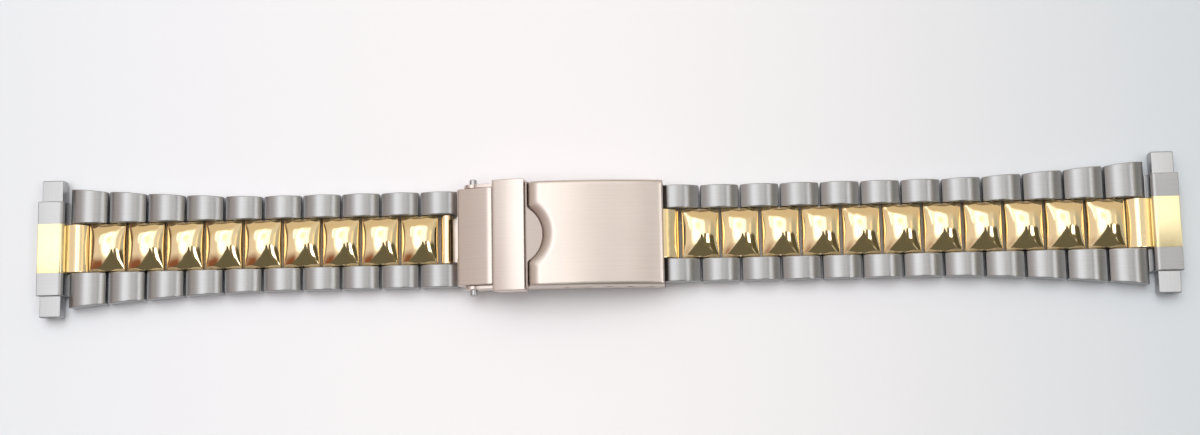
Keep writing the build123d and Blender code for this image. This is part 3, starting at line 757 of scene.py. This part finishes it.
    def neck(self, side, to_left, pin, start, base, links, look):
        """The plain gold link of the end piece: an arched neck from the last pins to the sleeve."""
        low = -0.5 * links.length + pin_half_span()
        edge, crown = links.plain_edge + base, links.neck_crown + base
        knee, foot = (low + start) / 2, links.foot_chamfer
        x = np.linspace(knee, low + 2 * links.foot_cut, 12)
        share = (x - low) / (knee - low)
        rise = np.stack([x, edge + (crown - edge) * np.sin(share * math.pi / 2)], -1)
        corners = [(low + foot, base), (start, base), (start, crown - foot), (low, edge), (low, base + foot)]
        outline = softened(corners, [links.foot_cut] * 5, rise, 2)
        half = links.centre_width / 2
        hole = round_hole(outline, np.array([0.0, pin[1]]), links.bore)
        rings = block_rings(outline, -half, half, links.foot_cut, 2, hole)
        add_piece(f"{side}_end_link_gold", [skin(mirrored(rings, pin[0], to_left), wrap=True)], f"{side}_end",
                  look["gold"], [f"{side}_end_link"])


def arch(sizes, x, depth=0.0):
    """Height at x of the clasp's arc this far below the cover's top."""
    top = node_box("clasp_cover")[1][2]
    middle = clasp_middle()
    return np.sqrt((sizes.arch_radius - depth) ** 2 - (np.asarray(x) - middle) ** 2) + top - sizes.arch_radius


def arch_line(sizes, x, depth):
    """Points of that arc in the XZ plane."""
    return np.stack([x, arch(sizes, x, depth)], -1)


def clasp_middle():
    """Place along the bracelet of the arch's crown, half a clasp length from the cover's end."""
    return float((node_box("clasp_cover")[1][0] + node_box("safety_latch")[0][0]) / 2)


def smooth_min(a, b, soft):
    """The lower of two heights, with a parabola in place of the crease."""
    near = np.maximum(soft - np.abs(a - b), 0) / soft
    return np.minimum(a, b) - near ** 2 * soft / 4


class BRACELET_OT_clasp_cover(bpy.types.Operator):
    """The arched cover with its stepped-down front, finger notch, side walls and pins"""
    bl_idname = "bracelet.clasp_cover"
    bl_label = "Clasp Cover"

    def execute(self, context):
        sizes, look = context.scene.bracelet_clasp, finishes()
        end_x, half, _ = node_box("clasp_cover")[1]
        step_x = end_x - sizes.main_length
        front_x = joints["latch_hinge"]["pos_m"][0] + sizes.front_reach
        jump = step_x + sizes.backing + np.array([-0.001, 0.001]) * MM  # where the sheet's thickness changes
        top, recess = self.top(sizes, front_x, step_x, end_x, jump, half)
        bodies, inside = [top], half - sizes.wall
        for near, far in ((inside, half), (-half, -inside)):
            bodies += self.wall(sizes, front_x, step_x, end_x, jump, near, far)
        # painted shade: the front's faces get the darker steel that stands for the shade in the recess
        add_piece("clasp_cover_steel", bodies, "clasp_cover", look["clasp_steel"], ["clasp_cover"],
                  40, (look["recess_steel"], recess))
        add_piece("cover_pins_steel", self.pins(sizes, half), "clasp_cover", look["pin_steel"], ["cover_pins"],
                  50)
        return {"FINISHED"}

    def top(self, sizes, front_x, step_x, end_x, jump, half):
        """The sheet as a height over (x, y): the lower of the cover's own arc and of the front's arc with a ramp
        that climbs with the distance from the notch's outline. Its long edges and its right end fall by quarter
        circles, and two rows of points close it below. Also says which faces lie on the front, which get the
        painted shade of the recess."""
        notch_from, notch_to, round_x = step_x - 0.3 * MM, step_x + 3.9 * MM, end_x - sizes.end_edge
        x = np.sort(np.concatenate([
            jump, np.linspace(front_x, notch_from, 9)[:-1], np.linspace(notch_from, notch_to, 62)[:-1],
            np.linspace(notch_to, round_x, 34)[:-1],
            end_x - sizes.end_edge * (1 - np.sin(np.linspace(0, math.pi / 2, 5)))]))
        edge, turn = sizes.long_edge, np.linspace(0, math.pi / 2, 6)
        rim, drop = half - edge + edge * np.sin(turn), edge * (1 - np.cos(turn))
        inner = np.linspace(edge - half, half - edge, 124)
        y = np.concatenate([-rim[:0:-1], inner, rim[1:]])
        fall = np.concatenate([drop[:0:-1], np.zeros(len(inner)), drop[1:]])
        gx, gy = np.meshgrid(x, y, indexing="ij")

        radius = (sizes.notch_width ** 2 / 4 + sizes.notch_depth ** 2) / (2 * sizes.notch_depth)
        corner_soft, lip_reach, foot_crease = 0.3 * MM, 0.2 * MM, 0.2 * sizes.crease
        away = np.hypot(gx - (step_x + sizes.notch_depth - radius), gy) - radius
        reach = smooth_min(gx - step_x, away, corner_soft)
        ramp = (arch(sizes, step_x, sizes.step) + reach / math.tan(sizes.bevel_angle)
                + sizes.lip * np.clip(reach / lip_reach, 0, 1))
        raised = -smooth_min(-arch(sizes, gx, sizes.step), -ramp, foot_crease)
        z = smooth_min(arch(sizes, gx), raised, sizes.crease) - fall * (reach > 0)
        past = np.maximum(gx - round_x, 0)
        z -= sizes.end_edge - np.sqrt(np.maximum(sizes.end_edge ** 2 - past ** 2, 0))
        # faces on the front, which get the darker steel of the painted shade
        recess = np.zeros((len(x) - 1, len(y) + 2), bool)
        recess[:, :len(y) - 1] = reach[:-1, :-1] < 0
        below = np.stack([x, self.underside(sizes, x, step_x)], -1)
        below = rings_across((below, half), (below, -half)).swapaxes(0, 1)
        return skin(np.concatenate([np.stack([gx, gy, z], -1), below], 1)), recess

    def wall(self, sizes, front_x, step_x, end_x, jump, near, far):
        """One side wall: plain stretches, a bored stretch round each adjuster hole, and the ear round the pin."""
        hole_x, reach = joints["right_clasp_link_hinge"]["pos_m"][0], sizes.hole_pitch / 2
        places = hole_x - sizes.hole_pitch * np.arange(sizes.hole_count)
        bodies = []
        for along in (np.sort(np.append(np.linspace(front_x, places[-1] - reach, 21), jump)),
                      np.array([hole_x + reach, end_x])):
            roof, foot = self.wall_edges(sizes, along, step_x)
            bodies.append(skin(rings_across((roof, near), (roof, far), (foot, far), (foot, near)).swapaxes(0, 1)))
        for place in places:
            roof, foot = self.wall_edges(sizes, place + reach * np.linspace(-1, 1, 7), step_x)
            share = np.linspace(0, 1, 7)[1:-1, None]
            rim = np.concatenate([foot, foot[-1] + (roof[-1] - foot[-1]) * share, roof[::-1],
                                  roof[0] + (foot[0] - roof[0]) * share])
            centre = np.array([place, float(arch(sizes, place, sizes.hole_depth))])
            bodies.append(bored(rim, centre, sizes.hole_radius, near, far))

        pin, ear_edge = pin_place("latch_hinge"), 0.06 * MM
        radius = pin[0] - node_box("clasp_cover")[0][0]
        ear = np.concatenate([arch_line(sizes, np.linspace(front_x, pin[0] + 0.3 * radius, 7), sizes.step),
                              arc(pin, radius, np.radians(np.linspace(80, 270, 24))),
                              arch_line(sizes, np.linspace(pin[0], front_x, 8), sizes.depth)])
        return bodies + [skin(block_rings(ear, near, far, ear_edge, 0))]

    def wall_edges(self, sizes, x, step_x):
        """Upper and lower edge of the walls: the sheet's inner face, and the arc at the walls' depth."""
        return np.stack([x, self.underside(sizes, x, step_x)], -1), arch_line(sizes, x, sizes.depth)

    def underside(self, sizes, x, step_x):
        """Height of the sheet's inner face: a thicker stretch lies behind the step and under the front."""
        backed = np.asarray(x) < step_x + sizes.backing
        return np.where(backed, arch(sizes, x, sizes.step + sizes.front_sheet), arch(sizes, x, sizes.sheet))

    def pins(self, sizes, half):
        """The hinge pin, whose heads end in flattened quarter circles, and the adjuster bar with its two tips."""
        sunk, round_off, play = 0.05 * MM, 0.1 * MM, 0.1 * MM
        turn = np.linspace(math.pi / 2, math.radians(8), 8)
        y = half + sizes.pin_overhang - sizes.pin_bulge * (1 - np.cos(turn))
        hinge = turned(pin_place("latch_hinge"), np.append(half - sunk, y),
                       np.append(sizes.pin_head, sizes.pin_head * np.sin(turn)))
        tube_end, tip = half - sizes.wall - play, sizes.bar_tip
        bar = turned(pin_place("right_clasp_link_hinge"), (tube_end, tube_end, half - round_off, half),
                     (sizes.bar_tube, tip, tip, tip - round_off))
        return [hinge, bar]


class BRACELET_OT_safety_latch(bpy.types.Operator):
    """The latch: a rounded nose, a narrow top and a clamp band with flaps over the cover's walls"""
    bl_idname = "bracelet.safety_latch"
    bl_label = "Safety Latch"

    def execute(self, context):
        sizes, look = context.scene.bracelet_clasp, finishes()
        low, high = node_box("safety_latch")
        clamp_x = low[0] + sizes.clamp_start
        bodies = [self.narrow_part(sizes, low[0], clamp_x), self.clamp(sizes, clamp_x, high[0], high[1])]
        add_piece("safety_latch_steel", bodies, "safety_latch", look["clasp_steel"], ["safety_latch"],
                  40)
        return {"FINISHED"}

    def narrow_part(self, sizes, nose_x, clamp_x):
        """Profile across the bracelet: the seam's groove, a parabola that bends into the straight fall, the nose's
        rounded corner, and an arc about the pin with a short tail behind it. Its middle, between two cheeks,
        follows a smaller arc, so that the blade's neck has room."""
        pin = pin_place("latch_hinge")
        nose, fall, sharp = pin[0] - nose_x, math.tan(sizes.latch_slope), 1e-9
        tuck, below_clamp, above_front, nose_cut, cheek_edge = (k * MM for k in (0.05, 0.1, 0.05, 0.45, 0.12))
        joint, seam = clamp_x + tuck, clamp_x - sizes.seam_width
        top_z = float(arch(sizes, joint, sizes.clamp_depth + sizes.clamp_drop + below_clamp))
        foot = [(joint, float(arch(sizes, joint, sizes.step - above_front)))]
        share = np.linspace(0, 1, 8)
        dip = np.stack([seam - sizes.latch_fillet * share, top_z - sizes.latch_fillet * fall * share ** 2 / 2], -1)
        corner = (nose_x, dip[-1, 1] - (dip[-1, 0] - nose_x) * fall)
        rounded = softened(foot + [dip[-1], corner, (nose_x, pin[1]), (joint, pin[1])],
                           [sharp, sharp, nose_cut, sharp, sharp], steps=6)[12:18]
        groove = [(joint, top_z - sizes.seam_depth), (seam, top_z - sizes.seam_depth)]
        upper = np.concatenate([groove, dip, rounded])
        tail = pin + nose * np.array([[0.35, -0.9], [0.75, -0.45], [0.9, 0.15]])
        cheek = np.concatenate([upper, arc(pin, nose, np.linspace(math.pi, 1.5 * math.pi, 17)), tail, foot])
        room = nose - sizes.latch_wall
        turn = np.linspace(math.pi - math.asin(sizes.window_height / room), math.radians(25), 19)
        bridge = np.concatenate([upper, [(nose_x, pin[1] + sizes.window_height)], arc(pin, room, turn), foot])
        half, window = node_box("clasp_cover")[1][1] - sizes.wall - sizes.latch_play, sizes.window_width / 2
        outer = block_rings(cheek, -half, half, cheek_edge, 0)
        inner = rings_across((cheek, -window), (bridge, -window), (bridge, window), (cheek, window))
        split = len(outer) // 2
        return skin(np.concatenate([outer[:split], inner, outer[split:]]))

    def clamp(self, sizes, start, end, half):
        """A U-shaped section carried along an arc that drops by a parabola to the left. At its left edge the
        section's outer side sinks by a quarter circle."""
        edge, thick, flap, steps = sizes.clamp_edge, sizes.clamp_sheet, sizes.flap_depth, 15
        turn = np.linspace(0, math.pi / 2, 6)[:-1]
        x = np.append(start + edge * (1 - np.cos(turn)), np.linspace(start + edge, end, steps))
        path = arch_line(sizes, x, sizes.clamp_depth)
        path[:, 1] -= sizes.clamp_drop * ((end - x) / (end - start)) ** 2
        inside, flap_edge, crease = half - sizes.flap_sheet, 0.05 * MM, 0.02 * MM
        section = softened([(-half, 0), (half, 0), (half, flap), (inside, flap), (inside, thick),
                            (-inside, thick), (-inside, flap), (-half, flap)],
                           [edge] * 2 + [flap_edge] * 2 + [crease] * 2 + [flap_edge] * 2)
        rings = strip_rings(path, path_normals(path), section)
        sink = np.append(edge * (1 - np.sin(turn)), np.zeros(steps))
        rings[..., 2] -= sink[:, None] * (section[:, 1] < thick / 2)
        return skin(rings)


def knuckle_strip(pin, radius, reach_x, heights, turns, count=28):
    """Outline of a knuckle and the strip that leaves it: an arc of turns about the pin, then the strip's end at
    reach_x between its two heights above the pin."""
    end = [(reach_x, pin[1] + height) for height in heights]
    return np.concatenate([arc(pin, radius, np.radians(np.linspace(*turns, count))), end])


class BRACELET_OT_blades(bpy.types.Operator):
    """The two folding blades inside the clasp, their tongue and the pin that joins them"""
    bl_idname = "bracelet.blades"
    bl_label = "Blades"

    def execute(self, context):
        clasp, sizes, look = context.scene.bracelet_clasp, context.scene.bracelet_blades, finishes()
        steel = look["clasp_steel"]
        pin, fold = pin_place("latch_hinge"), pin_place("blade_fold_hinge")
        half, side, wide = sizes.width / 2, sizes.fold_width / 2, sizes.neck_width / 2
        thick, gap, overlap = sizes.thickness, sizes.gap, 0.4 * MM
        plate_end = fold[0] - sizes.fold_radius - gap
        reach = plate_end - overlap

        def plate(start, depth):
            """Strip along the clasp's arc, its outer face this far below the cover's top."""
            return self.strip(sizes, arch_line(clasp, np.linspace(start, plate_end, 33), depth), sizes.width)

        start = node_box("safety_latch")[0][0] + sizes.start
        neck_end = start + overlap
        heights = [float(arch(clasp, neck_end, sizes.depth + more)) - pin[1] for more in (thick, 0)]
        neck = knuckle_strip(pin, sizes.knuckle_radius, neck_end, heights, (5, 265), 30)
        knuckle = knuckle_strip(fold, sizes.fold_radius, reach, (thick + gap / 2, gap / 2), (177, 494))
        bodies = [plate(start, sizes.depth), bored(neck, pin, sizes.pin_bore, -wide, wide),
                  bored(knuckle, fold, sizes.fold_bore, -side, side)]
        add_piece("middle_blade_steel", bodies, "middle_blade", steel, ["middle_blade"], 40)

        # the tongue rises to the lower blade by 3 s^2 - 2 s^3 over a stretch as long as the sheet is thick
        tip_x, _, floor = node_box("lower_blade")[0]
        root, depth = pin[0] + gap, sizes.depth + thick + gap
        x = np.concatenate([np.linspace(tip_x, root, 9), np.linspace(root, root + thick, 6)[1:]])
        share = np.clip((x - root) / thick, 0, 1)
        rise = float(arch(clasp, root + thick, depth)) - floor - thick
        tongue = np.stack([x, floor + thick + rise * share ** 2 * (3 - 2 * share)], -1)
        knuckle = knuckle_strip(fold, sizes.fold_radius, reach, (-gap / 2, -thick - gap / 2), (226, 543))
        bodies = [plate(root, depth), self.strip(sizes, tongue, sizes.tongue_width)]
        for near, far in ((side + gap, half), (-half, -side - gap)):
            bodies.append(bored(knuckle, fold, sizes.fold_bore, near, far))
        add_piece("lower_blade_steel", bodies, "lower_blade", steel, ["lower_blade"], 40)

        round_off, play = 0.12 * MM, 0.03 * MM
        radius = sizes.fold_bore - play
        hinge = turned(fold, (half - round_off, half), (radius, radius - round_off))
        add_piece("blade_hinge_pin_steel", [hinge], "middle_blade", look["pin_steel"], ["blade_hinge_pin"])
        return {"FINISHED"}

    def strip(self, sizes, path, width):
        """A flat strip of the blades' sheet, its outer face on a path in the XZ plane."""
        section = rounded_rectangle(width, sizes.thickness, sizes.edge, 4) + (0, sizes.thickness / 2)
        return skin(strip_rings(path, path_normals(path), section))


# ---- studio ----

def room_light(world):
    """Daylight of a pale room round the bracelet as a function of direction, from its leans x/z and y/z: each
    layer is a rounded rectangle of leans, and the dark wedge is where |x lean - middle| + rate * y lean < top."""
    world.use_nodes = True
    tree = world.node_tree
    tree.nodes.clear()
    direction = add_node(tree, "TexCoord")
    split = add_node(tree, "SeparateXYZ", inputs={"Vector": direction.outputs["Generated"]})
    height = add_node(tree, "Math", {"operation": "MAXIMUM"}, {0: split.outputs["Z"], 1: 0.04})
    leans = [add_node(tree, "Math", {"operation": "DIVIDE"}, {
        0: split.outputs[axis], 1: height}) for axis in "XY"]
    lean = add_node(tree, "CombineXYZ", inputs={"X": leans[0], "Y": leans[1]})

    def patch(x_range, y_range, soft, corner=0.0):
        """1 inside a rounded rectangle of leans, falling to 0 over its soft edge."""
        low, high = np.array((x_range[0], y_range[0], 0.0)), np.array((x_range[1], y_range[1], 0.0))
        value = lean
        for operation, other in (("SUBTRACT", (low + high) / 2), ("ABSOLUTE", (0, 0, 0)),
                                 ("SUBTRACT", np.maximum((high - low) / 2 - corner - soft, 0)),
                                 ("MAXIMUM", (0, 0, 0))):
            value = add_node(tree, "VectorMath", {"operation": operation}, {
                0: value, 1: tuple(other)})
        beyond = add_node(tree, "VectorMath", {"operation": "LENGTH"}, {0: value})
        return add_node(tree, "MapRange", {"interpolation_type": "SMOOTHSTEP"}, {
            "Value": beyond, "From Min": corner + 2 * soft, "From Max": corner})

    def wedge(middle, rate, top, soft):
        """1 inside a wedge that widens towards the near side."""
        aside = add_node(tree, "Math", {"operation": "SUBTRACT"}, {0: leans[0], 1: middle})
        aside = add_node(tree, "Math", {"operation": "ABSOLUTE"}, {0: aside})
        below = add_node(tree, "Math", {"operation": "MULTIPLY_ADD"}, {
            0: leans[1], 1: rate, 2: aside})
        return add_node(tree, "MapRange", {"interpolation_type": "SMOOTHSTEP"}, {
            "Value": below, "From Min": top + soft, "From Max": top - soft})

    far = 30.0
    every = (-far, far)
    light = colour("C2BAB8")
    for amount, tone, gain in (
            (patch((-3.6, 0.6), (-1.2, 1.6), 0.4), "ECE4DF", 1.0),               # pale left wall
            (patch((0.4, far), every, 0.15), "D6D4D0", 1.2),                     # pale right wall
            (patch((1.35, far), every, 0.3), "BCBEBC", 1.0),                     # its shaded end
            (patch(every, (0.9, far), 0.4), "DACDB8", 1.0),                      # warm far wall
            (patch(every, (2.6, far), 0.5), "7A6A60", 1.0),                      # dark foot of the far wall
            (patch((-far, -3.4), every, 0.7), "705C4E", 1.0),                    # dark foot of the left wall
            (patch((-far, -0.6), (-far, -0.5), 0.3), "8A5A44", 1.0),             # brown floor, near left
            (patch(every, (-far, -2.2), 0.5), "A8A4A2", 1.0),                    # grey near wall
            (patch((-1.8, 1.8), (-2.1, -1.2), 0.35), "5A5654", 1.0),             # dark stand at the near side
            (patch((-1.05, -0.3), (0.3, 1.02), 0.1, 0.2), "FFFFFF", 2.0),        # curtain beside the large window
            (patch((-0.72, -0.2), (-0.12, 1.0), 0.12, 0.2), "FFFFFF", 1.05),     # soft left edge of the window
            (patch((-0.45, 0.12), (-0.4, 1.02), 0.16, 0.28), "FFFFFF", 2.2),     # large window on the left
            (patch((0.0, 0.5), (-0.1, 0.9), 0.1, 0.1), "FFFDFA", 1.85),          # its right wing
            (patch((-0.25, 0.12), (0.3, 0.65), 0.14, 0.06), "FFFDF0", 1.25),     # yellow blind inside it
            (wedge(0.2, 0.95, 0.0, 0.05), "69675C", 1.0),                        # dark shade in front
            (patch((0.38, 1.08), (-0.7, 0.08), 0.04, 0.03), "6F6B5B", 1.0),      # frame of the small window
            (patch((1.05, 2.4), (-1.3, 0.12), 0.1, 0.1), "5A5646", 1.0),         # dark cupboard right of it
            (patch((0.12, 0.28), (-0.14, 0.03), 0.05, 0.03), "2C2A22", 1.0),     # tip of the shade
            (patch((0.95, 1.25), (0.05, 0.6), 0.08, 0.05), "F6E8CC", 1.3),       # pale post beside it
            (patch((0.62, 0.95), (-0.4, 0.06), 0.03, 0.03), "FFFFFF", 4.6)):     # small window on the right
        full = tuple(channel * gain for channel in colour(tone)[:3]) + (1.0,)
        light = add_node(tree, "Mix", {"data_type": "RGBA"}, {
            "Factor": amount, "A": light, "B": full})
    glow = add_node(tree, "Background", inputs={"Color": light, "Strength": 1.0})
    add_node(tree, "OutputWorld", inputs={"Surface": glow})
    return world


class BRACELET_OT_studio(bpy.types.Operator):
    """Pale floor, soft light and the camera"""
    bl_idname = "bracelet.studio"
    bl_label = "Studio"

    def execute(self, context):
        look = context.scene.bracelet_studio
        scene = context.scene
        scene.view_settings.view_transform = "Standard"

        camera = bpy.data.objects.new("camera", bpy.data.cameras.new("camera"))
        camera.location = look.camera_place
        camera.rotation_euler = Euler(look.camera_turn)
        camera.data.lens, camera.data.sensor_width = look.lens, 36.0
        camera.data.clip_start, camera.data.clip_end = 1 * MM, 100.0
        scene.collection.objects.link(camera)
        scene.camera = camera

        side = 6.0
        mesh = bpy.data.meshes.new("floor")
        mesh.from_pydata([(-side, -side, 0), (side, -side, 0), (side, side, 0), (-side, side, 0)], [], [(0, 1, 2, 3)])
        floor = bpy.data.objects.new("floor", mesh)
        material, tree = new_material("matt_paper")
        place = add_node(tree, "TexCoord")
        split = add_node(tree, "SeparateXYZ", inputs={"Vector": place.outputs["Object"]})
        # painted light: the paper's tone falls off from its bright middle to darker, cooler ends, standing for the
        # room's light
        reach, stops = 400 * MM, (0.0, 0.37, 0.5, 0.63, 1.0)
        along = add_node(tree, "MapRange", inputs={
            "Value": split.outputs["X"], "From Min": -reach, "From Max": reach})
        tint = add_node(tree, "ValToRGB", inputs={"Fac": along})
        tint.color_ramp.interpolation = "B_SPLINE"
        ramp = tint.color_ramp.elements
        ramp.remove(ramp[1])
        for stop, tone in zip(stops, look.floor_light_tones.split()):
            (ramp[0] if stop == 0 else ramp.new(stop)).color = colour(tone)
        shader = add_node(tree, "BsdfPrincipled", inputs={
            "Base Color": tint, "Roughness": 0.85, "Specular IOR Level": 0.2})
        add_node(tree, "OutputMaterial", inputs={"Surface": shader})
        mesh.materials.append(material)
        scene.collection.objects.link(floor)

        lamp = bpy.data.lights.new("paper_lamp", "AREA")
        lamp.size, lamp.energy = look.lamp_size, look.lamp_power
        holder = bpy.data.objects.new("paper_lamp", lamp)
        holder.location = look.lamp_place
        holder.rotation_euler = (-holder.location).to_track_quat("-Z", "Y").to_euler()
        holder.visible_glossy = False
        scene.collection.objects.link(holder)
        scene.world = room_light(bpy.data.worlds.new("room"))
        return {"FINISHED"}


class BRACELET_PT_panel(bpy.types.Panel):
    """Buttons and sizes in the sidebar"""
    bl_idname = "BRACELET_PT_panel"
    bl_label = "Link Watch Bracelet"
    bl_space_type = "VIEW_3D"
    bl_region_type = "UI"
    bl_category = "Bracelet"

    def draw(self, context):
        for operator in OPERATORS:
            self.layout.operator(operator.bl_idname)
        for group in GROUPS:
            box = self.layout.box()
            for key in GROUPS[group].__annotations__:
                box.prop(getattr(context.scene, group), key)


OPERATORS = (BRACELET_OT_side_links, BRACELET_OT_centre_links, BRACELET_OT_plain_links, BRACELET_OT_end_pieces,
             BRACELET_OT_clasp_cover, BRACELET_OT_safety_latch, BRACELET_OT_blades, BRACELET_OT_studio)
GROUPS = {"bracelet_links": LinkSizes, "bracelet_clasp": ClaspSizes, "bracelet_blades": BladeSizes,
          "bracelet_ends": EndSizes, "bracelet_finish": FinishColours, "bracelet_studio": StudioSettings}


def register():
    for item in (*GROUPS.values(), *OPERATORS, BRACELET_PT_panel):
        bpy.utils.register_class(item)
    for name, group in GROUPS.items():
        setattr(bpy.types.Scene, name, PointerProperty(type=group))


def unregister():
    for name in GROUPS:
        delattr(bpy.types.Scene, name)
    for item in (BRACELET_PT_panel, *OPERATORS, *GROUPS.values()):
        bpy.utils.unregister_class(item)


def main():
    """Builds every piece in order."""
    register()
    for operator in OPERATORS:
        group, name = operator.bl_idname.split(".")
        getattr(getattr(bpy.ops, group), name)()


if __name__ == "__main__":
    main()
